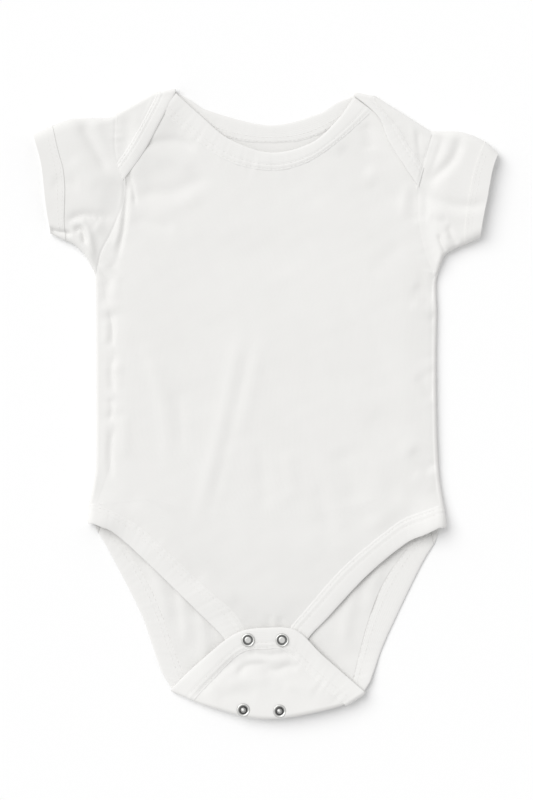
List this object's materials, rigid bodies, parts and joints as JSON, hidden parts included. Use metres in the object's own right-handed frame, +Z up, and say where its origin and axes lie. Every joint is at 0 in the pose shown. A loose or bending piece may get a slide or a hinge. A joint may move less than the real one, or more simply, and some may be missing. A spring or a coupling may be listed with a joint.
{
  "type": "baby bodysuit laid flat",
  "caption": "Short-sleeved baby bodysuit laid flat, front up, with lapped shoulders, bound edges and a snap crotch whose flap is folded up over the front.",
  "frame": {"origin": "on the surface the garment lies on, under the centre of its outline", "axes": "+Z up out of the front, +Y towards the neck, +X to the right seen from above"},
  "size_m": [0.3028, 0.4091, 0.0107],
  "materials": {
    "jersey": "white cotton jersey, fine single knit, soft and matt",
    "binding": "white cotton rib binding, folded, with twin rows of white stitching",
    "snap_metal": "pressed nickel-plated steel, lightly worn"
  },
  "bodies": {
    "root": {"back_panel": "jersey", "front_panel": "jersey", "neck_band_front": "binding", "neck_band_back": "binding", "leg_band_back": "binding", "leg_band_front_left": "binding", "leg_band_front_right": "binding", "sleeve_left": "jersey", "sleeve_right": "jersey", "cuff_left": "binding", "cuff_right": "binding", "snap_socket_left": "snap_metal", "snap_socket_right": "snap_metal", "snap_mate_left": "snap_metal", "snap_mate_right": "snap_metal", "snap_stud_left": "snap_metal", "snap_stud_right": "snap_metal"}
  },
  "joints": []
}
